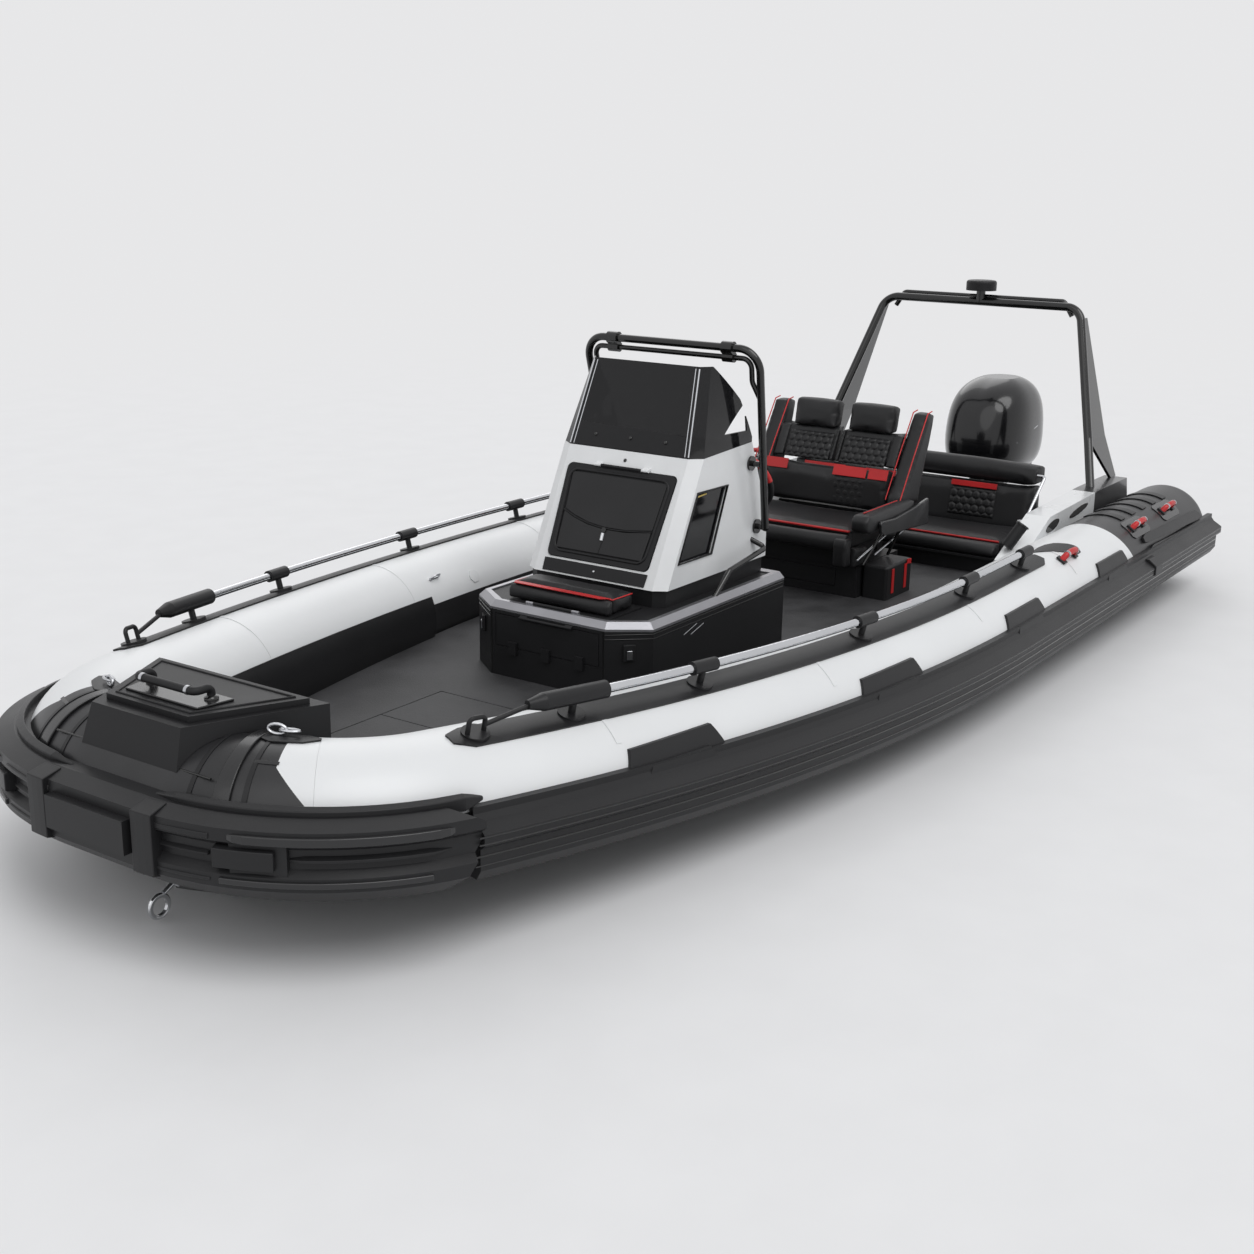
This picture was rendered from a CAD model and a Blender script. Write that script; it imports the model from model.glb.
"""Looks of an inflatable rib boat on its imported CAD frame. Lengths in metres, angles in degrees."""
import math

import bmesh
import bpy
from mathutils import Matrix, Vector


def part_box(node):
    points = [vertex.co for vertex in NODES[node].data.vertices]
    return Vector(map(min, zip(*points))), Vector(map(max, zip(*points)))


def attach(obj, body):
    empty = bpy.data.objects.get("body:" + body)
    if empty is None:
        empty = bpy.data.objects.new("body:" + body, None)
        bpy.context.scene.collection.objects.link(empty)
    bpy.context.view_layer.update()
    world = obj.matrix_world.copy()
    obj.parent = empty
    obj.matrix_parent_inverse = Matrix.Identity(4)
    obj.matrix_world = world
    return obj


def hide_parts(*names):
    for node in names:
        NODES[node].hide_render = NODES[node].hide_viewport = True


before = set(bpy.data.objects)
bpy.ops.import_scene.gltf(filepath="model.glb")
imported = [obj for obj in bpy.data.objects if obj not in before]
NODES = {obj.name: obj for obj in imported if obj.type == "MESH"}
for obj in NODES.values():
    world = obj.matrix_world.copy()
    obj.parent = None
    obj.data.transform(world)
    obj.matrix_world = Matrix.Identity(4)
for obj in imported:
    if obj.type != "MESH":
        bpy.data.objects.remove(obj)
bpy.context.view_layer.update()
SIDES = ((1, "port"), (-1, "starboard"))

# Collar: straight aft, bent in along the side, then round the nose, rising forward
TUBE, TUBE_Y, TUBE_Z, BOW_RISE = 0.270, 1.310, 0.370, 0.110
BEND_START, SIDE_RADIUS, CORNER_RADIUS = -0.400, 12.0, 0.600
SIDE_BEND = math.radians(17)
BEND_X = BEND_START + SIDE_RADIUS * math.sin(SIDE_BEND)
CORNER_X = BEND_X - CORNER_RADIUS * math.sin(SIDE_BEND)
CORNER_Y = TUBE_Y - SIDE_RADIUS + (SIDE_RADIUS - CORNER_RADIUS) * math.cos(SIDE_BEND)
NOSE_X = CORNER_X + CORNER_RADIUS
BOW_REACH = NOSE_X - BEND_START


# Materials

def link(tree, source, target):
    tree.links.new(source, target)


def texture(tree, kind, scale, **inputs):
    node = tree.nodes.new(kind)
    node.inputs["Scale"].default_value = scale
    for name, value in inputs.items():
        node.inputs[name].default_value = value
    link(tree, place_of(tree), node.inputs["Vector"])
    return node


def place_of(tree):
    """Position on the boat: every object's own origin is the frame's origin."""
    node = tree.nodes.get("Place") or tree.nodes.new("ShaderNodeTexCoord")
    node.name = "Place"
    return node.outputs["Object"]


def math_node(tree, operation, first, second=None, third=None):
    node = tree.nodes.new("ShaderNodeMath")
    node.operation = operation
    for socket, value in zip(node.inputs, (first, second, third)):
        if isinstance(value, (int, float)):
            socket.default_value = value
        elif value is not None:
            link(tree, value, socket)
    return node.outputs[0]


def ramp(tree, factor, low, high, near=0.35, far=0.65):
    node = tree.nodes.new("ShaderNodeValToRGB")
    for element, at, value in zip(node.color_ramp.elements, (near, far), (low, high)):
        element.position = at
        element.color = tuple(value) + (1,)
    link(tree, factor, node.inputs["Fac"])
    return node.outputs["Color"]


def mix_colour(tree, factor, low, high):
    node = tree.nodes.new("ShaderNodeMix")
    node.data_type = "RGBA"
    link(tree, factor, node.inputs["Factor"])
    for socket, value in ((node.inputs[6], low), (node.inputs[7], high)):
        if isinstance(value, (tuple, list)):
            socket.default_value = tuple(value) + (1,)
        else:
            link(tree, value, socket)
    return node.outputs[2]


def shade(colour, share):
    return tuple(min(channel * share, 1) for channel in colour)


def finish(name, colour, rough, grain=900, relief=0.0002, mottle=0.08, mottle_scale=3, metal=0, coat=0,
        specular=0.5, alpha=1, cells=False):
    """A material with fine relief, slow colour variation and uneven gloss."""
    mat = bpy.data.materials.new(name)
    mat.use_nodes = True
    tree = mat.node_tree
    shader = tree.nodes["Principled BSDF"]
    slow = texture(tree, "ShaderNodeTexNoise", mottle_scale, Detail=6)
    fine = texture(tree, "ShaderNodeTexVoronoi" if cells else "ShaderNodeTexNoise", grain)
    link(tree, ramp(tree, slow.outputs[0], shade(colour, 1 - mottle), shade(colour, 1 + mottle)),
        shader.inputs["Base Color"])
    spread = tree.nodes.new("ShaderNodeMapRange")
    link(tree, slow.outputs[0], spread.inputs["Value"])
    spread.inputs["To Min"].default_value = rough * 0.8
    spread.inputs["To Max"].default_value = min(rough * 1.2, 1)
    link(tree, spread.outputs[0], shader.inputs["Roughness"])
    bump = tree.nodes.new("ShaderNodeBump")
    bump.inputs["Strength"].default_value = 0.5
    bump.inputs["Distance"].default_value = relief
    link(tree, fine.outputs[0], bump.inputs["Height"])
    link(tree, bump.outputs[0], shader.inputs["Normal"])
    for socket, value in (("Metallic", metal), ("Coat Weight", coat), ("Coat Roughness", 0.08),
            ("Specular IOR Level", specular), ("Alpha", alpha)):
        shader.inputs[socket].default_value = value
    return mat


BLACK = (0.012, 0.012, 0.013)
WHITE = (0.76, 0.77, 0.78)
RED = (0.48, 0.012, 0.014)
SILVER = (0.55, 0.56, 0.58)

rubber = finish("rubber_black", (0.014, 0.014, 0.015), 0.40, grain=700, relief=0.0003, specular=0.3)
rubber_gloss = finish("rubber_gloss", (0.016, 0.016, 0.017), 0.24, grain=900, relief=0.0001, coat=0.25,
    specular=0.4)
hull_coat = finish("hull_coat", BLACK, 0.25, relief=0.0001, coat=0.25, specular=0.3)
moulded = finish("moulded_black", (0.013, 0.013, 0.014), 0.46, grain=1400, relief=0.0003, specular=0.25)
white_coat = finish("white_coat", WHITE, 0.30, grain=1600, relief=0.00008, mottle=0.04, coat=0.35)
pipe_coat = finish("pipe_coat", (0.007, 0.007, 0.007), 0.16, relief=0.00005, coat=0.6, specular=0.3)
leather = finish("leather_black", (0.014, 0.014, 0.015), 0.42, grain=420, relief=0.0006, cells=True,
    mottle=0.15, specular=0.32)
leather_red = finish("leather_red", RED, 0.42, grain=420, relief=0.0005, cells=True, mottle=0.12)
smoked = finish("smoked_sheet", (0.006, 0.006, 0.007), 0.05, relief=0, mottle=0.02, alpha=0.93,
    specular=0.35)
chrome = finish("chrome", (0.62, 0.63, 0.65), 0.13, relief=0.00005, metal=1, mottle=0.05)
steel = finish("steel", SILVER, 0.28, grain=1500, relief=0.0001, metal=1)
rim_coat = finish("rim_coat", (0.34, 0.34, 0.36), 0.30, relief=0.0001, metal=0.75, mottle=0.1)
cowl_coat = finish("cowl_coat", (0.006, 0.006, 0.007), 0.22, relief=0.00003, coat=0.5, mottle=0.1,
    specular=0.3)
leg_coat = finish("leg_coat", (0.013, 0.013, 0.014), 0.30, relief=0.0001, coat=0.2, specular=0.3)
cast = finish("cast_metal", (0.35, 0.35, 0.35), 0.5, grain=500, relief=0.0006, metal=0.8)
gold = finish("gold_strip", (0.62, 0.47, 0.14), 0.3, relief=0.0001, metal=0.6, mottle=0.2)
blue = finish("blue_strip", (0.03, 0.05, 0.42), 0.3, relief=0.0001, mottle=0.2)


def collar_finish():
    """White tube with black ends and a black underside."""
    mat = finish("collar_skin", WHITE, 0.36, grain=900, relief=0.00015, mottle=0.025, mottle_scale=1.2)
    tree = mat.node_tree
    shader = tree.nodes["Principled BSDF"]
    white = shader.inputs["Base Color"].links[0].from_socket
    slow = texture(tree, "ShaderNodeTexNoise", 4, Detail=5)
    black = ramp(tree, slow.outputs[0], BLACK, shade(BLACK, 1.7))
    axes = tree.nodes.new("ShaderNodeSeparateXYZ")
    link(tree, place_of(tree), axes.inputs[0])
    x, y, z = axes.outputs

    def calc(*values):
        return math_node(tree, *values)

    across = calc("ABSOLUTE", y)

    # the nose is black ahead of a heading that falls back as the line comes down the outside
    ahead_x = calc("SUBTRACT", x, CORNER_X)
    ahead_y = calc("SUBTRACT", across, CORNER_Y)
    heading = calc("ARCTAN2", ahead_x, ahead_y)
    reach = calc("SQRT", calc("MULTIPLY_ADD", ahead_x, ahead_x, calc("MULTIPLY", ahead_y, ahead_y)))
    up = calc("SUBTRACT", z, nose_z)
    angle = calc("ARCTAN2", up, calc("SUBTRACT", reach, CORNER_RADIUS))
    below = calc("MAXIMUM", calc("SUBTRACT", nose_line_angle, angle), 0)
    line = calc("MULTIPLY_ADD", below, -nose_line_fall, nose_line_heading)
    ahead = calc("GREATER_THAN", heading, line)
    # aft: black behind a line that leans aft on its way down
    stern = calc("MULTIPLY_ADD", calc("SUBTRACT", stern_line_z, z), -stern_line_lean, stern_line_x)
    behind = calc("LESS_THAN", x, stern)
    # below: black under the strakes, which rise with the tube
    forward = calc("MAXIMUM", calc("MULTIPLY_ADD", x, 1 / BOW_REACH, -BEND_START / BOW_REACH), 0)
    level = calc("MULTIPLY_ADD", calc("MULTIPLY", forward, forward), -BOW_RISE, z)
    low = calc("LESS_THAN", level, strake_line_z)
    mask = calc("MAXIMUM", calc("MAXIMUM", ahead, behind), low)
    link(tree, mix_colour(tree, mask, white, black), shader.inputs["Base Color"])
    return mat


nose_z, nose_line_angle, nose_line_fall, nose_line_heading = 0.476, 1.012, 0.285, 1.082
stern_line_x, stern_line_z, stern_line_lean = -2.06, 0.64, 0.6
strake_line_z = 0.440
collar_skin = collar_finish()

# moulded non-skid: small raised cells over a dark grey deck
deck_skin = finish("deck_nonskid", (0.045, 0.045, 0.047), 0.6, grain=160, relief=0.0016, cells=True,
    mottle=0.25, mottle_scale=5, specular=0.3)


def coaming_finish():
    """White side with a black after part."""
    mat = finish("coaming_coat", WHITE, 0.28, relief=0.00008, mottle=0.03, coat=0.4)
    tree = mat.node_tree
    shader = tree.nodes["Principled BSDF"]
    white = shader.inputs["Base Color"].links[0].from_socket
    axes = tree.nodes.new("ShaderNodeSeparateXYZ")
    link(tree, place_of(tree), axes.inputs[0])
    mask = math_node(tree, "LESS_THAN", axes.outputs[0], coaming_line_x)
    link(tree, mix_colour(tree, mask, white, shade(BLACK, 1.2)), shader.inputs["Base Color"])
    return mat


coaming_line_x = -2.785
coaming_skin = coaming_finish()

FINISHES = {hull_coat: "hull", deck_skin: "deck",
    collar_skin: "collar_bow collar_port collar_starboard stern_cone_port stern_cone_starboard",
    rubber: "rubbing_strake_port rubbing_strake_starboard bow_fender rail_mounts_port "
    "rail_mounts_starboard bow_liner",
    moulded: "bow_locker bow_locker_lid front_locker front_locker_flap front_locker_lid console_hatch "
    "dash steering_wheel seat_pod seat_pod_door bench_base bench_lid transom arch_light cooler",
    white_coat: "console", coaming_skin: "coaming_port coaming_starboard",
    pipe_coat: "hoop hand_rails arch", smoked: "windscreen console_windows",
    chrome: "grab_rail_port grab_rail_starboard bow_eye bench_stays", rim_coat: "locker_rim",
    cowl_coat: "cowl", leg_coat: "outboard_leg swivel clamp_bracket propeller", cast: "engine_block",
    leather: "helm_cushion helm_back helm_arms bench_cushion bench_back front_cushion",}
for material, names in FINISHES.items():
    for name in names.split():
        NODES[name].data.materials.clear()
        NODES[name].data.materials.append(material)


# Making pieces

def publish(obj, material, body="boat"):
    """Give a piece its one material and the body that carries it."""
    if material:
        obj.data.materials.clear()
        obj.data.materials.append(material)
    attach(obj, body)
    return obj


def mesh_object(name, vertices, faces, smooth=True):
    mesh = bpy.data.meshes.new(name)
    mesh.from_pydata([tuple(v) for v in vertices], [], faces)
    mesh.validate()
    tidy = bmesh.new()
    tidy.from_mesh(mesh)
    bmesh.ops.recalc_face_normals(tidy, faces=tidy.faces)
    tidy.to_mesh(mesh)
    tidy.free()
    mesh.polygons.foreach_set("use_smooth", [smooth] * len(mesh.polygons))
    obj = bpy.data.objects.new(name, mesh)
    bpy.context.scene.collection.objects.link(obj)
    return obj


def softened(obj, width, segments=3):
    edge = obj.modifiers.new("Edges", "BEVEL")
    edge.width = width
    edge.segments = segments
    edge.harden_normals = True
    edge.limit_method = "ANGLE"
    edge.angle_limit = math.radians(35)
    return obj


def prism(name, outline, depth, material, body="boat", bevel=0.002):
    """Plate on a planar outline of points, thickened along a vector."""
    depth = Vector(depth)
    outline = [Vector(p) for p in outline]
    count = len(outline)
    vertices = outline + [p + depth for p in outline]
    faces = [list(range(count))[::-1], list(range(count, 2 * count))]
    faces += [[i, (i + 1) % count, (i + 1) % count + count, i + count] for i in range(count)]
    obj = mesh_object(name, vertices, faces)
    if bevel:
        softened(obj, bevel)
    return publish(obj, material, body)


def cord_like(name, points, radius, material, body="boat", closed=False, smooth=False):
    """Round bar or bead along points."""
    curve = bpy.data.curves.new(name, "CURVE")
    curve.dimensions = "3D"
    curve.bevel_depth = radius
    curve.bevel_resolution = 3
    curve.resolution_u = 6
    spline = curve.splines.new("NURBS" if smooth else "POLY")
    spline.points.add(len(points) - 1)
    for point, place in zip(spline.points, points):
        point.co = (*place, 1)
    if smooth:
        spline.order_u = 3
        spline.use_endpoint_u = not closed
    spline.use_cyclic_u = closed
    curve.use_fill_caps = True
    obj = bpy.data.objects.new(name, curve)
    bpy.context.scene.collection.objects.link(obj)
    return publish(obj, material, body)


# Cushions

SWELL_FRAMES = 20


def profile_mesh(name, profile, y0, y1):
    """Extrusion across the boat of an outline seen from abeam."""
    count = len(profile)
    vertices = [(x, y, z) for y in (y0, y1) for x, z in profile]
    faces = [list(range(count)), list(range(count, 2 * count))[::-1]]
    faces += [[i, i + count, (i + 1) % count + count, (i + 1) % count] for i in range(count)]
    return mesh_object(name, vertices, faces)


def apply_modifiers(obj):
    graph = bpy.context.evaluated_depsgraph_get()
    mesh = bpy.data.meshes.new_from_object(obj.evaluated_get(graph))
    obj.modifiers.clear()
    obj.data = mesh
    mesh.polygons.foreach_set("use_smooth", [True] * len(mesh.polygons))


def swell(obj, cap, pressure=4.0):
    """Inflate a closed form as sewn cloth; no point moves further than the cap."""
    rest = [v.co.copy() for v in obj.data.vertices]
    cloth = obj.modifiers.new("Cloth", "CLOTH")
    cloth.settings.quality = 4
    cloth.settings.use_pressure = True
    cloth.settings.uniform_pressure_force = pressure
    cloth.settings.effector_weights.gravity = 0
    cloth.settings.tension_stiffness = 12
    cloth.settings.bending_stiffness = 2
    cloth.point_cache.frame_start, cloth.point_cache.frame_end = 1, SWELL_FRAMES
    for number in range(1, SWELL_FRAMES + 1):
        bpy.context.scene.frame_set(number)
    apply_modifiers(obj)
    for vertex, start in zip(obj.data.vertices, rest):
        move = vertex.co - start
        if move.length > cap:
            vertex.co = start + move * (cap / move.length)
    bpy.context.scene.frame_set(1)


def stuffed(name, profile, y0, y1, body="boat", cap=0.014, inset=0.006, voxel=0.012, fill=0.8):
    """A cushion swollen from an outline; it starts smaller by the inset."""
    middle = Vector((sum(p[0] for p in profile), 0, sum(p[1] for p in profile))) / len(profile)
    drawn = []
    for x, z in profile:
        inward = Vector((middle.x - x, 0, middle.z - z))
        reach = max(inward.length, inset)
        drawn.append((x + inward.x / reach * inset, z + inward.z / reach * inset))
    obj = profile_mesh(name, drawn, y0 + inset, y1 - inset)
    block = obj.modifiers.new("Blocks", "REMESH")
    block.mode = "VOXEL"
    block.voxel_size = voxel
    apply_modifiers(obj)
    ease = obj.modifiers.new("Ease", "SMOOTH")
    ease.iterations = 4
    apply_modifiers(obj)
    swell(obj, cap)
    finer = obj.modifiers.new("Finer", "SUBSURF")
    finer.levels = finer.render_levels = 1
    publish(obj, leather, body)
    return obj


def flat_pad(name, low, high, split, body="boat", **options):
    """Flat part of a seat, from its box's after face to the split."""
    return stuffed(name, [(low.x, low.z), (split, low.z), (split, high.z), (low.x, high.z)], low.y, high.y,
        body, **options)


def quilt(name, corner, right, up, depth, body="boat", cell=0.045):
    """Sewn panel of hexagonal cells on a plane; up and right give its size."""
    corner, right, up, depth = (Vector(item) for item in (corner, right, up, depth))
    step = cell / 9
    across, tall = (max(int(side.length / step), 2) for side in (right, up))
    vertices, faces = [], []
    for j in range(tall + 1):
        for i in range(across + 1):
            u, w = right.length * i / across, up.length * j / tall
            edge = min(u, w, right.length - u, up.length - w)
            lift = hexagon_height(u / cell, w / cell) * min(edge / (cell / 3), 1)
            vertices.append(corner + right * (i / across) + up * (j / tall) + depth * lift)
    for j in range(tall):
        for i in range(across):
            first = j * (across + 1) + i
            faces.append([first, first + 1, first + across + 2, first + across + 1])
    obj = mesh_object(name, vertices, faces)
    skirt = obj.modifiers.new("Thickness", "SOLIDIFY")
    skirt.thickness = depth.length * 0.6
    skirt.offset = 0
    publish(obj, leather, body)
    return obj


def hexagon_height(u, w):
    """Height from 0 on a seam to 1 at a cell's middle, on a honeycomb of unit cells."""
    row = math.sqrt(3) / 2
    best, second = 9.0, 9.0
    base_row = math.floor(w / row)
    for j in (base_row - 1, base_row, base_row + 1, base_row + 2):
        offset = 0.5 if j % 2 else 0.0
        base = math.floor(u - offset)
        for i in (base, base + 1):
            distance = math.hypot(u - i - offset, w - j * row)
            if distance < best:
                best, second = distance, best
            elif distance < second:
                second = distance
    seam_reach, crown = 0.45, 0.6
    return min(max(second - best, 0) / seam_reach, 1) ** crown


# Helm seat
seat_low, seat_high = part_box("helm_cushion")
seat_split = seat_high.x - 0.085
seat_pad = flat_pad("helm_seat_pad", seat_low, seat_high, seat_split)
stuffed("helm_seat_roll", [(seat_split + 0.004, seat_low.z), (seat_high.x - 0.03, seat_low.z),
    (seat_high.x, seat_low.z + 0.03), (seat_high.x, seat_high.z - 0.045),
    (seat_high.x - 0.04, seat_high.z - 0.008), (seat_split + 0.004, seat_high.z - 0.004)], seat_low.y,
    seat_high.y)
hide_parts("helm_cushion")
prism("helm_seat_band", [(x, y, seat_high.z - 0.005) for x, y in ((seat_split - 0.014, seat_low.y + 0.02),
    (seat_split - 0.014, seat_high.y - 0.02), (seat_split + 0.010, seat_high.y - 0.02),
    (seat_split + 0.010, seat_low.y + 0.02))], (0, 0, 0.008), leather_red)

back_low, back_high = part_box("helm_back")
lumbar_x, lumbar_z, lumbar_foot = -1.275, 0.950, 0.700
lean_foot, lean_head = Vector((-1.365, 0, 0.950)), Vector((-1.465, 0, 1.140))
slope = (lean_head - lean_foot).normalized()
out_of_back = Vector((slope.z, 0, -slope.x))
lumbar = stuffed("helm_lumbar", [(lumbar_x, lumbar_foot), (lumbar_x, lumbar_z - 0.05),
    (lumbar_x - 0.025, lumbar_z - 0.004), (lumbar_x - 0.10, lumbar_z),
    (lumbar_x - 0.17, lumbar_foot + 0.02)], back_low.y, back_high.y)
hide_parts("helm_back")
for side, word in SIDES:
    inner, outer = 0.036 * side, 0.326 * side
    stuffed("helm_backrest_" + word, [(lean_foot.x - 0.012, lean_foot.z),
        (lean_head.x - 0.012, lean_head.z), (lean_head.x - 0.085, lean_head.z + 0.006),
        (lumbar_x - 0.165, lumbar_z - 0.02)], *sorted((0.004 * side, back_high.y * side)), cap=0.01)
    stuffed("helm_headrest_" + word, [(lean_head.x + 0.022, lean_head.z - 0.01),
        (lean_head.x - 0.012, back_high.z - 0.01), (lean_head.x - 0.05, back_high.z),
        (lean_head.x - 0.12, back_high.z - 0.02), (lean_head.x - 0.08, lean_head.z - 0.01)],
        *sorted((inner, outer)), cap=0.012)
    for edge_in, edge_out, label in ((0.332, 0.400, "outer"), (0.006, 0.034, "inner")):
        stuffed("helm_bolster_%s_%s" % (label, word), [(lean_foot.x + 0.014, lean_foot.z + 0.002),
            (lean_head.x + 0.014, lean_head.z - 0.006), (lean_head.x - 0.04, lean_head.z + 0.002),
            (lean_foot.x - 0.04, lean_foot.z)], *sorted((edge_in * side, edge_out * side)), cap=0.008,
            inset=0.003)
    corner = lean_foot + out_of_back * -0.002 + Vector((0, min(inner, outer), 0.008))
    quilt("helm_quilt_" + word, corner, (0, abs(outer - inner), 0), slope * 0.165, out_of_back * 0.012)
quilt("helm_lumbar_quilt", (lumbar_x - 0.001, 0.05, 0.725), (0, 0.21, 0), (0, 0, 0.165), (0.010, 0, 0))
for number, (y0, y1) in enumerate(((-0.395, -0.25), (0.05, 0.26), (0.275, 0.395))):
    band = ((0.006, y0, -0.052), (0.006, y1, -0.052), (-0.016, y1, 0.004), (-0.016, y0, 0.004))
    prism("helm_red_band_%d" % number, [(lumbar_x + dx, y, lumbar_z + dz) for dx, y, dz in band],
        (0.005, 0, 0.003), leather_red)

for side, word in SIDES:
    wing_y = sorted((0.408 * side, 0.498 * side))
    wing = stuffed("helm_wing_" + word, [(-1.235, 0.73), (-1.235, 0.80), (-1.54, 1.270), (-1.60, 1.272),
        (-1.665, 1.25), (-1.49, 0.73)], *wing_y)
    arm_y = sorted((0.432 * side, 0.546 * side))
    stuffed("helm_arm_" + word, [(-0.742, 0.712), (-0.738, 0.768), (-0.775, 0.800), (-1.36, 0.802),
        (-1.36, 0.706), (-0.785, 0.692)], *arm_y)
    if side > 0:
        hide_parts("helm_arms")
    for edge in wing_y:
        cord_like("helm_wing_piping_%s_%d" % (word, edge * 1000),
            [(-1.238, edge, 0.80), (-1.39, edge, 1.035), (-1.545, edge, 1.262), (-1.60, edge, 1.27)],
            0.0035, leather_red)
    cord_like("helm_arm_piping_" + word, [(-0.80, sum(arm_y) / 2, 0.806), (-1.22, sum(arm_y) / 2, 0.808)],
        0.003, leather_red)

for side, word in SIDES:
    stuffed("seat_corner_" + word, [(-0.790, 0.505), (-0.716, 0.505), (-0.710, 0.630), (-0.726, 0.662),
        (-0.790, 0.662)], *sorted((0.352 * side, 0.438 * side)), cap=0.006, inset=0.003, voxel=0.008)
    stuffed("seat_flank_" + word, [(-0.960, 0.478), (-0.800, 0.490), (-0.796, 0.606), (-0.960, 0.590)],
        *sorted((0.412 * side, 0.452 * side)), cap=0.005, inset=0.003, voxel=0.008)
    prism("arm_rail_" + word, [(x, 0.548 * side, z) for x, z in ((-0.868, 0.742), (-0.882, 0.756),
        (-1.052, 0.746), (-1.270, 0.764), (-1.480, 0.792), (-1.498, 0.640), (-1.270, 0.650),
        (-0.920, 0.668), (-0.880, 0.690))], (0, 0.020 * side, 0), rubber_gloss, bevel=0.006)
    for number, ends in enumerate((((-0.790, 0.470, 0.540), (-1.120, 0.520, 0.668)),
            ((-0.870, 0.470, 0.500), (-0.985, 0.520, 0.668)),
            ((-1.330, 0.520, 0.650), (-1.050, 0.450, 0.520)),
            ((-1.180, 0.535, 0.655), (-1.180, 0.470, 0.500)))):
        cord_like("arm_strut_%s_%d" % (word, number), [(x, y * side, z) for x, y, z in ends],
            0.009 if number % 2 else 0.006, pipe_coat if number % 2 else steel)

# Stern bench
bench_low, bench_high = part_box("bench_cushion")
bench_split = bench_high.x - 0.12
bench_seat = flat_pad("bench_seat_pad", bench_low, bench_high, bench_split, "bench_lid", cap=0.012)
stuffed("bench_seat_roll", [(bench_split + 0.004, bench_low.z), (bench_high.x, bench_low.z),
    (bench_high.x, bench_high.z - 0.04), (bench_high.x - 0.045, bench_high.z - 0.006),
    (bench_split + 0.004, bench_high.z - 0.004)], bench_low.y, bench_high.y, "bench_lid", cap=0.010)
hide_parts("bench_cushion")
cord_like("bench_seat_piping", [(bench_split, bench_low.y + 0.02, bench_high.z - 0.004),
    (bench_split, bench_high.y - 0.02, bench_high.z - 0.004)], 0.006, leather_red, "bench_lid")
rest_low, rest_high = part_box("bench_back")
roll_z = rest_high.z - 0.13
bench_rest = stuffed("bench_back_pad", [(-2.400, rest_low.z), (-2.402, 0.50), (-2.452, roll_z),
    (-2.565, roll_z), (-2.580, rest_low.z)], rest_low.y, rest_high.y, cap=0.012)
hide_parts("bench_back")
stuffed("bench_back_roll", [(-2.440, roll_z + 0.008), (-2.462, rest_high.z - 0.03),
    (-2.52, rest_high.z - 0.004), (-2.61, rest_high.z - 0.02), (-2.60, roll_z + 0.008)], rest_low.y,
    rest_high.y, cap=0.016)
bench_slope = (Vector((-2.452, 0, roll_z)) - Vector((-2.402, 0, 0.50))).normalized()
bench_out = Vector((bench_slope.z, 0, -bench_slope.x))
for number, (y0, y1) in enumerate(((0.30, 0.60), (-0.30, 0.0), (-0.75, -0.45))):
    foot, wide = Vector((-2.402, y0, 0.52)) + bench_out * 0.004, Vector((0, y1 - y0, 0))
    quilt("bench_quilt_%d" % number, foot, wide, bench_slope * 0.17, bench_out * 0.012, cell=0.05)
    top, tall = foot + bench_slope * 0.178, bench_slope * 0.034
    prism("bench_red_band_%d" % number, [top, top + wide, top + wide + tall, top + tall], bench_out * 0.012,
        leather_red)

# Cushion on the forward locker
front_low, front_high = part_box("front_cushion")
front_split = front_high.x - 0.045
front_pad = flat_pad("front_seat_pad", front_low, front_high, front_split, "locker_lid", voxel=0.009)
stuffed("front_seat_band", [(front_split + 0.002, front_low.z), (front_high.x, front_low.z),
    (front_high.x, front_high.z - 0.03), (front_high.x - 0.02, front_high.z - 0.006),
    (front_split + 0.002, front_high.z - 0.004)], front_low.y, front_high.y, "locker_lid", voxel=0.008,
    cap=0.008, inset=0.003)
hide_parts("front_cushion")

# Collar: places on its skin

def tube_point(run, degrees, out=0.0, side=1):
    """Point by run along the collar and angle round it from level outboard, lifted out of the skin."""
    turn = 0.0
    if run > BEND_X:
        turn = SIDE_BEND + (run - BEND_X) / CORNER_RADIUS
        centre = Vector((CORNER_X, CORNER_Y, 0)) + CORNER_RADIUS * Vector((math.sin(turn), math.cos(turn),
            0))
    elif run > BEND_START:
        turn = math.asin((run - BEND_START) / SIDE_RADIUS)
        centre = Vector((run, TUBE_Y - SIDE_RADIUS * (1 - math.cos(turn)), 0))
    else:
        centre = Vector((run, TUBE_Y, 0))
    centre.z = TUBE_Z + BOW_RISE * (max(centre.x - BEND_START, 0) / BOW_REACH) ** 2
    angle = math.radians(degrees)
    reach = TUBE + out
    point = centre + Vector((math.sin(turn), math.cos(turn), 0)) * (reach * math.cos(angle))
    point.z += reach * math.sin(angle)
    point.y *= side
    return point


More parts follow.
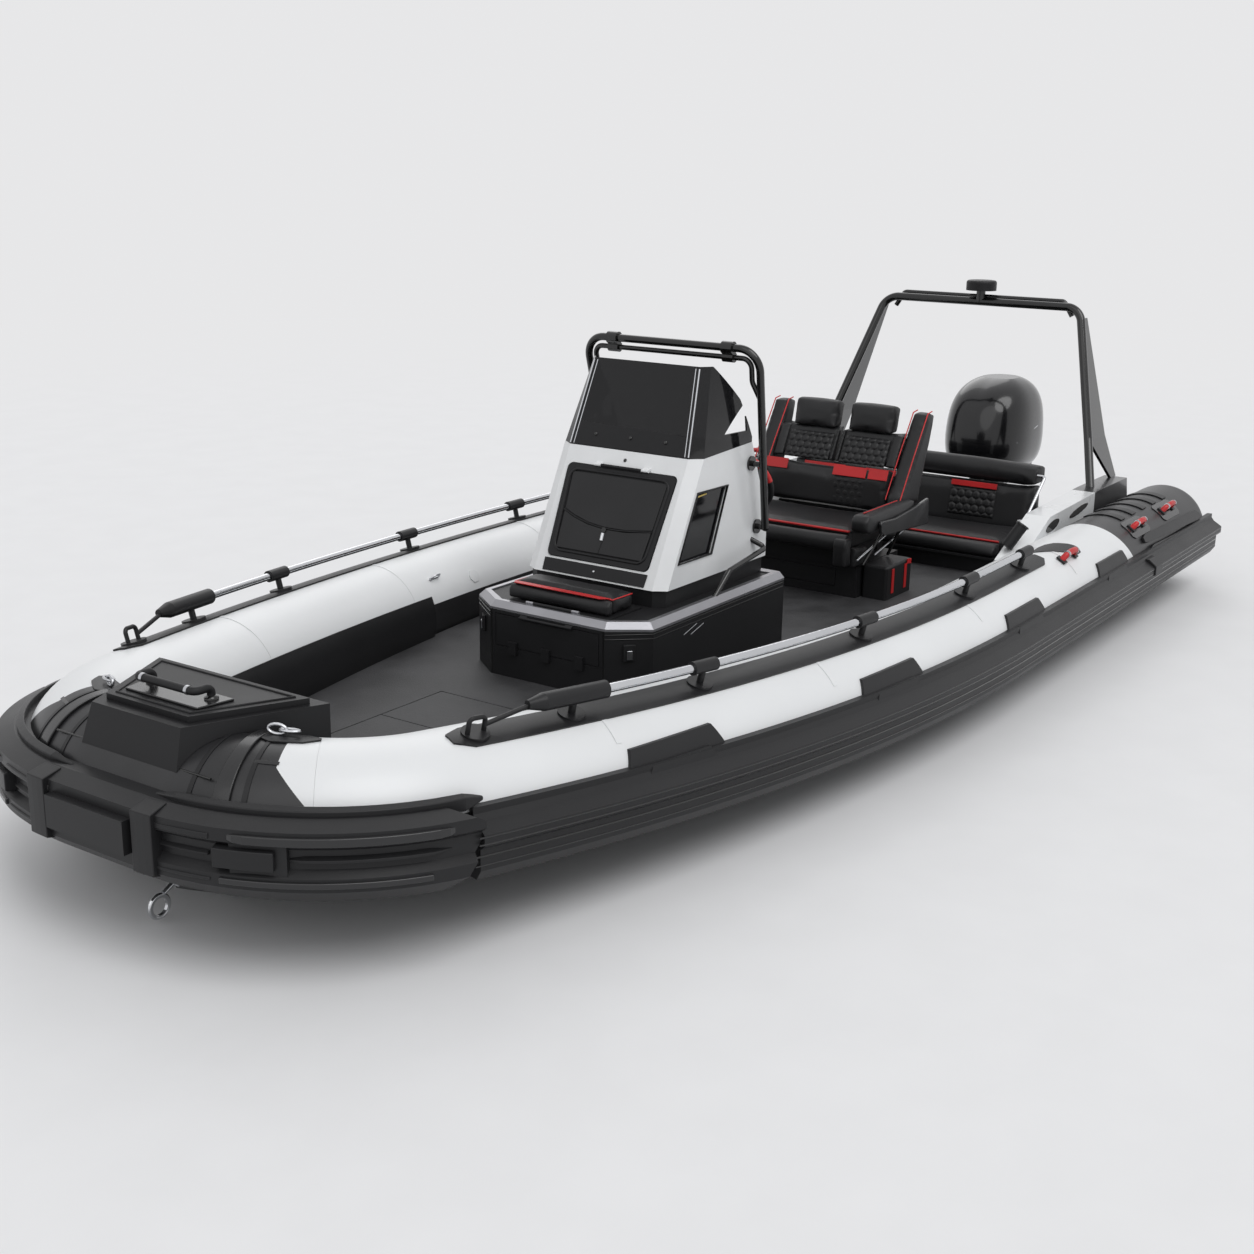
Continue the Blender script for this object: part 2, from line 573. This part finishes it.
def skin_patch(name, stations, thickness, material, side=1, lift=0.001, columns=12, rows=6):
    """Raised patch on the collar; each station is a run and the angles of its two edges."""
    drawn = []
    for (run_a, low_a, high_a), (run_b, low_b, high_b) in zip(stations, stations[1:]):
        for step in range(rows):
            share = step / rows
            drawn.append([a + (b - a) * share for a, b in ((run_a, run_b), (low_a, low_b),
                (high_a, high_b))])
    drawn.append(stations[-1])
    vertices = [tube_point(run, low + (high - low) * k / columns, lift, side) for run, low, high in drawn
        for k in range(columns + 1)]
    faces = [[j * (columns + 1) + k, j * (columns + 1) + k + 1, (j + 1) * (columns + 1) + k + 1,
        (j + 1) * (columns + 1) + k] for j in range(len(drawn) - 1) for k in range(columns)]
    obj = mesh_object(name, vertices, faces)
    outward = tube_point(drawn[0][0], drawn[0][1], lift + 0.01, side) - vertices[0]
    skin = obj.modifiers.new("Thickness", "SOLIDIFY")
    skin.thickness = thickness
    skin.offset = 1 if obj.data.polygons[0].normal.dot(outward) > 0 else -1
    softened(obj, thickness * 0.35, 2)
    return publish(obj, material)


def seam_ring(name, run, side, low, high, wide=0.022, thickness=0.0015, material=collar_skin):
    """Welded band round the tube."""
    return skin_patch(name, [(run - wide / 2, low, high), (run + wide / 2, low, high)], thickness, material,
        side, columns=30, rows=1)


for side, word in SIDES:
    for number, run in enumerate((-1.30, -0.05, 1.25, 2.45)):
        seam_ring("seam_%s_%d" % (word, number), run, side, 40 if number % 2 else 36, 176)
    for number, run in enumerate((3.64, 3.79)):
        seam_ring("bow_seam_%s_%d" % (word, number), run, side, 27, 150, 0.014, 0.002, rubber)
    # raised ribs over the after cone
    for number in range(5):
        run = -2.44 - 0.20 * number
        skin_patch("cone_rib_%s_%d" % (word, number), [(run, 68, 118), (run + 0.075, 68, 118)], 0.007,
            rubber, side, rows=2)
    # two long pads on the cone above the strake
    skin_patch("cone_pad_%s" % word, [(-3.50, 22, 27), (-3.44, 20, 34), (-2.45, 27, 38), (-2.39, 29, 35)],
        0.016, rubber, side)
    skin_patch("cone_low_pad_%s" % word, [(-3.24, 13, 17), (-3.18, 9, 19), (-2.49, 8, 22), (-2.43, 10, 19)],
        0.022, rubber, side)
    # dark leaf that runs up to the after handle
    skin_patch("handle_leaf_%s" % word, [(-1.560, 62, 66), (-1.530, 56, 74), (-1.450, 55, 86),
        (-1.377, 66, 90.5), (-1.290, 75, 91.5), (-1.167, 87, 89)], 0.003, rubber, side)
    # grab handles: base patch, two lugs and the grip
    for number, (run, degrees) in enumerate(((-2.44, 52), (-3.04, 53), (-1.33, 58))):
        if number < 2:
            skin_patch("handle_base_%s_%d" % (word, number), [(run - 0.17, degrees - 10, degrees + 10),
                (run - 0.14, degrees - 14, degrees + 13), (run + 0.12, degrees - 14, degrees + 13),
                (run + 0.15, degrees - 10, degrees + 10)], 0.005, rubber_gloss, side)
        for end in (-0.085, 0.085):
            skin_patch("handle_lug_%s_%d_%d" % (word, number, end > 0),
                [(run + end - 0.022, degrees - 6, degrees + 6), (run + end + 0.022, degrees - 6,
                degrees + 6)], 0.012, rubber, side, lift=0.004, rows=2, columns=4)
        grip = [tube_point(run + along, degrees, out, side) for along, out in ((-0.085, 0.010),
            (-0.075, 0.040), (-0.03, 0.052), (0.03, 0.052), (0.075, 0.040), (0.085, 0.010))]
        cord_like("handle_grip_%s_%d" % (word, number), grip, 0.017, leather_red, smooth=True)
        for end in (-0.062, 0.062):
            cord_like("handle_ring_%s_%d_%d" % (word, number, end > 0),
                [tube_point(run + end - 0.007, degrees, 0.044, side), tube_point(run + end + 0.007, degrees,
                0.046, side)], 0.020, chrome)
    # inflation valve and D-ring
    skin_patch("valve_%s" % word, [(0.66, 148, 152), (0.68, 143, 157), (0.72, 143, 157), (0.74, 148, 152)],
        0.004, white_coat, side, rows=3)
    ring = [tube_point(1.025 + 0.038 * math.cos(a), 138, 0.006 + 0.034 * max(math.sin(a), -0.1), side)
        for a in (math.radians(20 * k) for k in range(18))]
    cord_like("side_ring_%s" % word, ring, 0.005, steel, closed=True)


def screw(name, point, out, radius, material, body="boat"):
    """Dished screw head."""
    rings = ((radius, 0.0), (radius, radius * 0.25), (radius * 0.6, radius * 0.55), (0.0, radius * 0.6))
    out = Vector(out).normalized()
    side = out.orthogonal().normalized()
    other = out.cross(side)
    vertices, faces, count = [], [], 14
    for reach, lift in rings:
        for step in range(count):
            angle = 2 * math.pi * step / count
            vertices.append(point + (side * math.cos(angle) + other * math.sin(angle)) * reach + out * lift)
    for level in range(len(rings) - 1):
        for step in range(count):
            after = (step + 1) % count
            faces.append([level * count + step, level * count + after, (level + 1) * count + after,
                (level + 1) * count + step])
    return publish(mesh_object(name, vertices, faces), material, body)


# Bars along the collar: beads and clamps on the strakes, bars, plates and straps on the fender

def swept_bar(name, runs, outline, material, side=1, taper=0.0, steps=24):
    """Bar along the collar; the outline holds distances out from the tube's centre and up."""
    middle_up = sum(up for _, up in outline) / len(outline)
    foot_out = min(out for out, _ in outline)
    vertices, count = [], len(outline)
    for step in range(steps + 1):
        run = runs[0] + (runs[1] - runs[0]) * step / steps
        centre = tube_point(run, 90, -TUBE, side)
        away = tube_point(run, 0, 0, side) - centre
        away.normalize()
        reach = min(run - runs[0], runs[1] - run)
        share = min(reach / taper, 1) if taper else 1
        for out, up in outline:
            vertices.append(centre + away * (foot_out + (out - foot_out) * (0.35 + 0.65 * share))
                + Vector((0, 0, middle_up + (up - middle_up) * (0.25 + 0.75 * share))))
    faces = [[k for k in range(count)], [steps * count + k for k in range(count)][::-1]]
    faces += [[j * count + k, (j + 1) * count + k, (j + 1) * count + (k + 1) % count,
        j * count + (k + 1) % count] for j in range(steps) for k in range(count)]
    obj = mesh_object(name, vertices, faces, smooth=False)
    softened(obj, 0.004, 2)
    return publish(obj, material)


for side, word in SIDES:
    for number, (face, up, tall) in enumerate(((0.352, 0.009, 0.007), (0.352, -0.016, 0.007),
            (0.326, -0.070, 0.010), (0.326, -0.102, 0.007))):
        swept_bar("strake_bead_%s_%d" % (word, number), (-3.690, 3.120),
            [(face - 0.006, up), (face + 0.0025, up), (face + 0.0025, up + tall),
            (face - 0.006, up + tall)], pipe_coat if number == 2 else rubber_gloss, side, steps=40)
    swept_bar("strake_clamp_" + word, (-2.400, -2.280), [(0.300, -0.030), (0.361, -0.028), (0.361, 0.028),
        (0.316, 0.064), (0.290, 0.064)], rubber, side, steps=3)

FENDER_FACE = 0.368
for side, word in SIDES:
    for number, (first, last, low, high, proud) in enumerate(((3.150, 3.672, 0.046, 0.098, 0.012),
            (3.180, 3.535, -0.018, 0.014, -0.012), (3.680, 3.870, 0.050, 0.090, 0.005),
            (3.230, 3.660, -0.098, -0.056, 0.010), (3.680, 3.870, -0.094, -0.062, 0.005),
            (3.690, 3.810, -0.016, 0.010, -0.016))):
        swept_bar("fender_bar_%s_%d" % (word, number), (first, last), [(FENDER_FACE - 0.036, low),
            (FENDER_FACE + proud, low + 0.008), (FENDER_FACE + proud, high - 0.014),
            (FENDER_FACE - 0.036, high)], rubber_gloss if number in (0, 3) else rubber, side,
            taper=0.05 if number < 2 else 0.0)
    swept_bar("fender_plate_" + word, (3.545, 3.672), [(FENDER_FACE - 0.040, -0.040),
        (FENDER_FACE + 0.012, -0.034), (FENDER_FACE + 0.012, 0.032), (FENDER_FACE - 0.040, 0.040)], rubber,
        side, steps=6)
    swept_bar("fender_flange_" + word, (3.060, 3.870), [(0.262, 0.092), (0.290, 0.092), (0.290, 0.140),
        (0.262, 0.150)], rubber, side, taper=0.07)
    skin_patch("nose_rib_" + word, [(3.675, 24, 104), (3.720, 24, 104)], 0.010, rubber_gloss, side, rows=2,
        columns=24)
    skin_patch("nose_panel_" + word, [(3.575, 60, 63), (3.645, 60, 63)], 0.002, rubber_gloss, side, rows=2)
for number, y in enumerate((0.235, -0.235)):
    swept_bar("fender_strap_%d" % number, (3.808, 3.866), [(FENDER_FACE - 0.03, -0.125),
        (FENDER_FACE + 0.020, -0.112), (FENDER_FACE + 0.020, 0.104), (FENDER_FACE - 0.06, 0.124),
        (FENDER_FACE - 0.06, 0.110)], rubber, 1 if y > 0 else -1, steps=3)

# Bow locker: raised border and handle base on the lid, dark line under the front
LID_TOP = 0.8225
LID_CORNERS = [(3.618, 0.188), (3.618, -0.188), (3.290, -0.345), (3.290, 0.345)]
cord_like("lid_border", [(x, y, LID_TOP + 0.001) for x, y in LID_CORNERS], 0.005, moulded, "bow_lid",
    closed=True)
prism("lid_handle_base", [(3.585, 0.185, LID_TOP), (3.585, -0.185, LID_TOP), (3.440, -0.210, LID_TOP),
    (3.440, 0.210, LID_TOP)], (0, 0, 0.009), rubber_gloss, "bow_lid", 0.004)
for side, word in SIDES:
    cord_like("lid_handle_cap_" + word, [(3.560, y * side, 0.8745) for y in (0.122, 0.108)], 0.0172, steel,
        "bow_lid")
    screw("lid_handle_foot_" + word, Vector((3.490, 0.150 * side, LID_TOP + 0.009)), (0, 0, 1), 0.026,
        pipe_coat, "bow_lid")
cord_like("bow_locker_line", [(3.722, 0.395, 0.668), (3.722, -0.395, 0.668)], 0.004, pipe_coat)

# Shackles at the rails' forward ends
for side, word in SIDES:
    for number, (run, degrees, out, turn) in enumerate(((3.590, 97, 0.026, 0), (3.635, 96, 0.028, 1))):
        centre = tube_point(run, degrees, out, side)
        along = (tube_point(run + 0.03, degrees, out, side) - centre).normalized()
        over = (tube_point(run, degrees, out + 0.03, side) - centre).normalized()
        flat = along.cross(over)
        rise = over if turn else flat
        link_points = [centre + along * (0.034 * math.cos(a)) + rise * (0.017 * math.sin(a))
            for a in (math.radians(24 * k) for k in range(15))]
        cord_like("bow_link_%s_%d" % (word, number), link_points, 0.0055, steel, closed=True)
    skin_patch("bow_link_pad_" + word, [(3.475, 92, 96), (3.53, 86, 104), (3.64, 84, 108), (3.68, 88, 104)],
        0.006, rubber, side)

# Stern coamings: plain dark ovals and rod holders

def oval_on(name, node, middle, radii, lean_deg, thickness, material, side):
    """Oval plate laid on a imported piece's outboard face, where a ray from abeam meets it."""
    x, z = middle
    lean = math.radians(lean_deg)
    _, place, normal, _ = NODES[node].ray_cast(Vector((x, 3 * side, z)), Vector((0, -side, 0)))
    ring = []
    for step in range(20):
        angle = 2 * math.pi * step / 20
        u, w = radii[0] * math.cos(angle), radii[1] * math.sin(angle)
        dx, dz = u * math.cos(lean) - w * math.sin(lean), u * math.sin(lean) + w * math.cos(lean)
        slope = -(normal.x * dx + normal.z * dz) / normal.y
        ring.append(place + Vector((dx, slope, dz)) + normal * 0.0006)
    return prism(name, ring, normal * thickness, material, bevel=0.001)


for side, word in SIDES:
    for label, middle, radii, lean in (("fore", (-2.060, 0.604), (0.105, 0.030), -8),
            ("after", (-2.500, 0.622), (0.160, 0.022), -6)):
        oval_on("coaming_plaque_%s_%s" % (label, word), "coaming_" + word, middle, radii, lean, 0.003,
            pipe_coat, side)
    head, foot = Vector((-1.72, 1.050 * side, 0.660)), Vector((-1.65, 0.990 * side, 0.535))
    cord_like("rod_holder_" + word, [foot, head], 0.036, moulded)
    cord_like("rod_holder_lip_" + word, [head - (head - foot) * 0.06, head], 0.043, pipe_coat)
    cord_like("rod_holder_mouth_" + word, [head, head + (head - foot) * 0.01], 0.032, steel)

# Console: raked front, with its hatch's padding, sill, screws and strips
FACE_LOW, FACE_HIGH = Vector((1.048, 0, 0.731)), Vector((0.764, 0, 1.303))
FACE_LEAN = math.atan2(FACE_LOW.x - FACE_HIGH.x, FACE_HIGH.z - FACE_LOW.z)
FACE_UP = Vector((-math.sin(FACE_LEAN), 0, math.cos(FACE_LEAN)))
FACE_OUT = Vector((math.cos(FACE_LEAN), 0, math.sin(FACE_LEAN)))


def on_face(y, z, out=0.0):
    """Point on the console's front by breadth and height."""
    rise = (z - FACE_LOW.z) / math.cos(FACE_LEAN)
    return FACE_LOW + Vector((0, y, 0)) + FACE_UP * rise + FACE_OUT * out


def face_plate(name, outline, thickness, material, body="boat", out=0.0, bevel=0.002):
    """Plate laid on the console's front."""
    return prism(name, [on_face(y, z, out) for y, z in outline], FACE_OUT * thickness, material, body,
        bevel)


def rounded_ring(low_half, high_half, low_z, high_z, corner, out, steps=6):
    """Closed line with rounded corners on the console's front."""
    corners = [(-low_half, low_z), (low_half, low_z), (high_half, high_z), (-high_half, high_z)]
    points = []
    for number, (y, z) in enumerate(corners):
        centre_y = y - math.copysign(corner, y)
        centre_z = z + (corner if number < 2 else -corner)
        start = (180, 270, 0, 90)[number]
        for step in range(steps + 1):
            angle = math.radians(start + 90 * step / steps)
            points.append(on_face(centre_y + corner * math.cos(angle), centre_z + corner * math.sin(angle),
                out))
    return points


hatch_out = 0.007
cord_like("hatch_border", rounded_ring(0.262, 0.285, 0.832, 1.196, 0.045, hatch_out - 0.001), 0.007,
    moulded, "hatch", closed=True)
seam_line = [(-0.262, 1.012), (-0.20, 0.990), (-0.10, 0.965), (0.0, 0.955), (0.12, 0.956), (0.265, 0.972)]
face_plate("hatch_upper_pad", [(-0.255, 1.018), (-0.20, 0.996), (-0.10, 0.971), (0.0, 0.961), (0.12, 0.962),
    (0.258, 0.978), (0.272, 1.185), (-0.272, 1.185)], 0.006, leather, "hatch", hatch_out - 0.005, 0.004)
face_plate("hatch_pocket", [(-0.245, 0.842), (0.245, 0.842), (0.257, 0.970), (0.12, 0.953), (0.0, 0.952),
    (-0.10, 0.962), (-0.20, 0.987), (-0.254, 1.008)], 0.010, leather, "hatch", hatch_out - 0.005, 0.005)
cord_like("hatch_seam", [on_face(y, z, hatch_out + 0.003) for y, z in seam_line], 0.0035, moulded, "hatch",
    smooth=True)
cord_like("hatch_strap_line", [on_face(0.005, 0.905, hatch_out + 0.005),
    on_face(0.0, 0.845, hatch_out + 0.005)], 0.003, moulded, "hatch")
cord_like("hatch_latch", [on_face(0, 0.902, hatch_out + 0.004), on_face(0, 0.934, hatch_out + 0.007)],
    0.010, chrome, "hatch")
cord_like("hatch_keeper", [on_face(0, 0.948, hatch_out), on_face(0, 0.948, hatch_out + 0.010)], 0.013,
    pipe_coat, "hatch")
face_plate("console_sill", [(-0.292, 0.738), (0.292, 0.738), (0.296, 0.794), (-0.296, 0.794)], 0.005,
    moulded)
screw("console_bolt", on_face(0, 1.262), FACE_OUT, 0.009, pipe_coat)
screw("sill_bolt", on_face(0, 0.766, 0.005), FACE_OUT, 0.006, steel)

# Wheel: red grip parts on its rim
wheel_axis = Vector((-0.8900596, 0, 0.4558441))
wheel_up = Vector((0.4558441, 0, 0.8900596))
wheel_radius, hub_reach = 0.175, 0.019
wheel_centre = Vector((0.0397215, 0.19, 1.066798)) + wheel_axis * hub_reach
for number, middle in enumerate((30, 150, 270)):
    arc = [wheel_centre + (Vector((0, 1, 0)) * math.cos(a) + wheel_up * math.sin(a)) * wheel_radius
        for a in (math.radians(middle - 24 + 6 * k) for k in range(9))]
    cord_like("wheel_grip_%d" % number, arc, 0.0165, leather_red if number < 2 else leather, "wheel")

SCREEN_FOOT, SCREEN_HEAD = Vector((0.7625, 0, 1.304)), Vector((0.617, 0, 1.711))
screen_up = (SCREEN_HEAD - SCREEN_FOOT).normalized()
screen_out = Vector((screen_up.z, 0, -screen_up.x))
for number, y in enumerate((-0.20, 0.0, 0.20)):
    screw("screen_screw_%d" % number, SCREEN_FOOT + screen_up * 0.062 + Vector((0, y, 0))
        + screen_out * 0.002, screen_out, 0.010, pipe_coat)
foot_half, head_half = 0.339, 0.300
strip = [(-foot_half, 0.004), (foot_half, 0.004), (foot_half - 0.008, 0.098), (0.14, 0.108), (-0.14, 0.112),
    (0.008 - foot_half, 0.120)]
prism("screen_base_strip", [SCREEN_FOOT + Vector((0, y, 0)) + screen_up * reach + screen_out * 0.0005
    for y, reach in strip], screen_out * 0.0015, moulded, bevel=0.0005)
for side, word in SIDES:
    for number, set_in in enumerate((0.0, 0.020)):
        cord_like("screen_edge_%s_%d" % (word, number),
            [SCREEN_FOOT + Vector((0, (foot_half - set_in) * side, 0)) + screen_up * 0.006
            + screen_out * 0.001, SCREEN_HEAD + Vector((0, (head_half - set_in) * side, 0))
            - screen_up * 0.01 + screen_out * 0.001], 0.0028 if number else 0.004, steel)

# side windows: black frame, coloured strips along the front and top edges
WINDOW = [(0.925, 0.840), (0.771, 1.150), (0.503, 1.150), (0.635, 0.840)]
for side, word, first, second in ((1, "port", gold, gold), (-1, "starboard", blue, leather_red)):
    y = 0.4015 * side
    strip_y = y - 0.006 * side
    cord_like("window_frame_" + word, [(x, y, z) for x, z in WINDOW], 0.006, moulded, closed=True)
    cord_like("window_strip_" + word, [(0.905, strip_y, 0.862), (0.845, strip_y, 0.985),
        (0.782, strip_y, 1.112)], 0.0055, first)
    cord_like("window_strip_top_" + word, [(0.776, strip_y, 1.132), (0.690, strip_y, 1.137)], 0.005, second)

# Forward locker: posts, panel lines, latches and side marks
locker_front, locker_side = 1.400, 0.5005
for side, word in SIDES:
    cord_like("locker_post_" + word, [(locker_front - 0.001, 0.318 * side, z) for z in (0.306, 0.612)],
        0.004, pipe_coat)
    nose, flank = Vector((1.270, locker_side * side, 0)), Vector((0.100, locker_side * side, 0))
    corner = Vector((1.4005, 0.3262 * side, 0))
    for number, z in enumerate((0.585, 0.606)):
        cord_like("locker_line_%s_%d" % (word, number), [corner + Vector((0, 0, z - 0.006)),
            nose + Vector((0, 0, z)), flank + Vector((0, 0, z))], 0.0022, pipe_coat)
    middle = (nose + corner) / 2
    outward = Vector((middle.x - 1.0, middle.y, 0)).normalized()
    across = Vector((0, 0, 1)).cross(outward)
    base = middle + Vector((0, 0, 0.520)) - outward * 0.004
    prism("locker_side_latch_" + word, [base + across * a + Vector((0, 0, b)) for a, b in ((-0.028, -0.038),
        (0.028, -0.038), (0.028, 0.038), (-0.028, 0.038))], outward * 0.016, moulded, bevel=0.003)
    prism("locker_side_latch_tongue_" + word, [base + outward * 0.016 + across * a + Vector((0, 0, b))
        for a, b in ((-0.012, -0.030), (0.012, -0.030), (0.012, 0.012), (-0.012, 0.012))], outward * 0.006,
        steel, bevel=0.002)
    for number in range(2):
        start = Vector((1.02 - 0.06 * number, 0.5012 * side, 0.545 - 0.012 * number))
        cord_like("locker_mark_%s_%d" % (word, number), [start, start + Vector((-0.11, 0, 0.030))], 0.0018,
            steel)

# Front cushion: red band along the front of the top, piping on the other edges
band_z = front_high.z - 0.004
prism("front_red_band", [(front_high.x - 0.046, front_low.y + 0.015, band_z),
    (front_high.x - 0.012, front_low.y + 0.03, band_z), (front_high.x - 0.012, front_high.y - 0.06, band_z),
    (front_high.x - 0.046, front_high.y - 0.02, band_z)], (0, 0, 0.004), leather_red, "locker_lid", 0.0015)
edge_y = front_high.y - 0.012
cord_like("front_piping", [(front_low.x + 0.01, -edge_y, band_z - 0.004),
    (front_split, -edge_y, band_z - 0.002), (front_split, edge_y, band_z - 0.002),
    (front_low.x + 0.01, edge_y, band_z - 0.004)], 0.0035, leather_red, "locker_lid")

# Cowl: silver crease lines
for side, word in SIDES:
    crease = [Vector((-3.60, 0.262 * side, 0.80)), Vector((-3.75, 0.292 * side, 0.86)),
        Vector((-3.95, 0.296 * side, 0.90)), Vector((-4.14, 0.235 * side, 0.93))]
    cord_like("cowl_crease_" + word, crease, 0.004, chrome, "outboard", smooth=True)

# Cooler bag: straps and tab
bag_low, bag_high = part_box("cooler")
bag_face = bag_high.y + 0.001
for number, x in enumerate((bag_low.x + 0.07, bag_high.x - 0.09)):
    prism("bag_strap_%d" % number, [(x, bag_face, bag_low.z + 0.03), (x + 0.03, bag_face, bag_low.z + 0.03),
        (x + 0.03, bag_face, bag_high.z - 0.02), (x, bag_face, bag_high.z - 0.02)], (0, 0.003, 0),
        leather_red, bevel=0.001)
prism("bag_tab", [(bag_low.x + 0.02, bag_face, bag_high.z - 0.030), (bag_low.x + 0.07, bag_face,
    bag_high.z - 0.024), (bag_low.x + 0.07, bag_face, bag_high.z + 0.004), (bag_low.x + 0.02, bag_face,
    bag_high.z)], (0, 0.005, 0), leather_red, bevel=0.001)

# Camera: place, heading and lens solved from the photograph
PHOTO = 1254
focal_px, centre_px = 1611.8, (626.8, 621.9)
sensor = 36.0
yaw, pitch, roll = (math.radians(a) for a in (34.27, 15.96, 0.93))
eye = Vector((7.017, 4.271, 2.627))
ahead = Vector((-math.cos(yaw) * math.cos(pitch), -math.sin(yaw) * math.cos(pitch), -math.sin(pitch)))
level = ahead.cross(Vector((0, 0, 1))).normalized()
upward = level.cross(ahead)
right = level * math.cos(roll) + upward * math.sin(roll)
above = upward * math.cos(roll) - level * math.sin(roll)
lens = bpy.data.cameras.new("Camera")
lens.lens = focal_px / PHOTO * sensor
lens.sensor_width = sensor
lens.shift_x = (PHOTO / 2 - centre_px[0]) / PHOTO
lens.shift_y = (centre_px[1] - PHOTO / 2) / PHOTO
lens.clip_end = 400
camera = bpy.data.objects.new("Camera", lens)
camera.matrix_world = Matrix((right, above, -ahead)).transposed().to_4x4()
camera.matrix_world.translation = eye
bpy.context.scene.collection.objects.link(camera)
bpy.context.scene.camera = camera

# Studio: pale floor on the waterline that fades into pale surroundings, broad soft lamps
PALE = (0.80, 0.80, 0.81)


def floor_finish(fade_start=5.5, fade_end=20):
    """Pale matt floor; far from the boat it takes the very colour of the surroundings."""
    mat = finish("studio_floor", PALE, 0.9, relief=0, mottle=0.01, specular=0.1)
    tree = mat.node_tree
    away = tree.nodes.new("ShaderNodeVectorMath")
    away.operation = "LENGTH"
    link(tree, place_of(tree), away.inputs[0])
    fade = tree.nodes.new("ShaderNodeMapRange")
    fade.interpolation_type = "SMOOTHSTEP"
    fade.inputs["From Min"].default_value, fade.inputs["From Max"].default_value = fade_start, fade_end
    link(tree, away.outputs["Value"], fade.inputs["Value"])
    glow = tree.nodes.new("ShaderNodeEmission")
    glow.inputs["Color"].default_value = (*PALE, 1)
    mixed = tree.nodes.new("ShaderNodeMixShader")
    link(tree, fade.outputs[0], mixed.inputs[0])
    link(tree, tree.nodes["Principled BSDF"].outputs[0], mixed.inputs[1])
    link(tree, glow.outputs[0], mixed.inputs[2])
    link(tree, mixed.outputs[0], tree.nodes["Material Output"].inputs["Surface"])
    return mat


floor = mesh_object("studio_floor", [(-90, -90, 0), (90, -90, 0), (90, 90, 0), (-90, 90, 0)],
    [[0, 1, 2, 3]])
floor.data.materials.append(floor_finish())

world = bpy.data.worlds.new("Studio")
bpy.context.scene.world = world
world.use_nodes = True
sky = world.node_tree
seen = sky.nodes["Background"]
seen.inputs["Color"].default_value = (*PALE, 1)
lit = sky.nodes.new("ShaderNodeBackground")
lit.inputs["Color"].default_value = (0.98, 0.99, 1.0, 1)
lit.inputs["Strength"].default_value = 0.55
rays = sky.nodes.new("ShaderNodeLightPath")
shown = math_node(sky, "MAXIMUM", rays.outputs["Is Camera Ray"], rays.outputs["Is Transmission Ray"])
shown = math_node(sky, "MAXIMUM", shown, rays.outputs["Is Glossy Ray"])
blend = sky.nodes.new("ShaderNodeMixShader")
link(sky, shown, blend.inputs[0])
link(sky, lit.outputs[0], blend.inputs[1])
link(sky, seen.outputs[0], blend.inputs[2])
link(sky, blend.outputs[0], sky.nodes["World Output"].inputs[0])


def soft_sun(name, heading_deg, height_deg, strength, spread_deg):
    """Even light from one side of the sky, with soft shadows."""
    lamp = bpy.data.lights.new(name, "SUN")
    lamp.energy = strength
    lamp.angle = math.radians(spread_deg)
    heading, height = math.radians(heading_deg), math.radians(height_deg)
    obj = bpy.data.objects.new(name, lamp)
    towards = Vector((math.cos(heading) * math.cos(height), math.sin(heading) * math.cos(height),
        math.sin(height)))
    obj.rotation_euler = towards.to_track_quat("Z", "Y").to_euler()
    bpy.context.scene.collection.objects.link(obj)


soft_sun("key_light", 75, 58, 1.15, 40)
soft_sun("bow_light", 10, 40, 0.35, 50)
soft_sun("rim_light", -140, 35, 0.35, 40)

bpy.context.scene.view_settings.view_transform = "Standard"
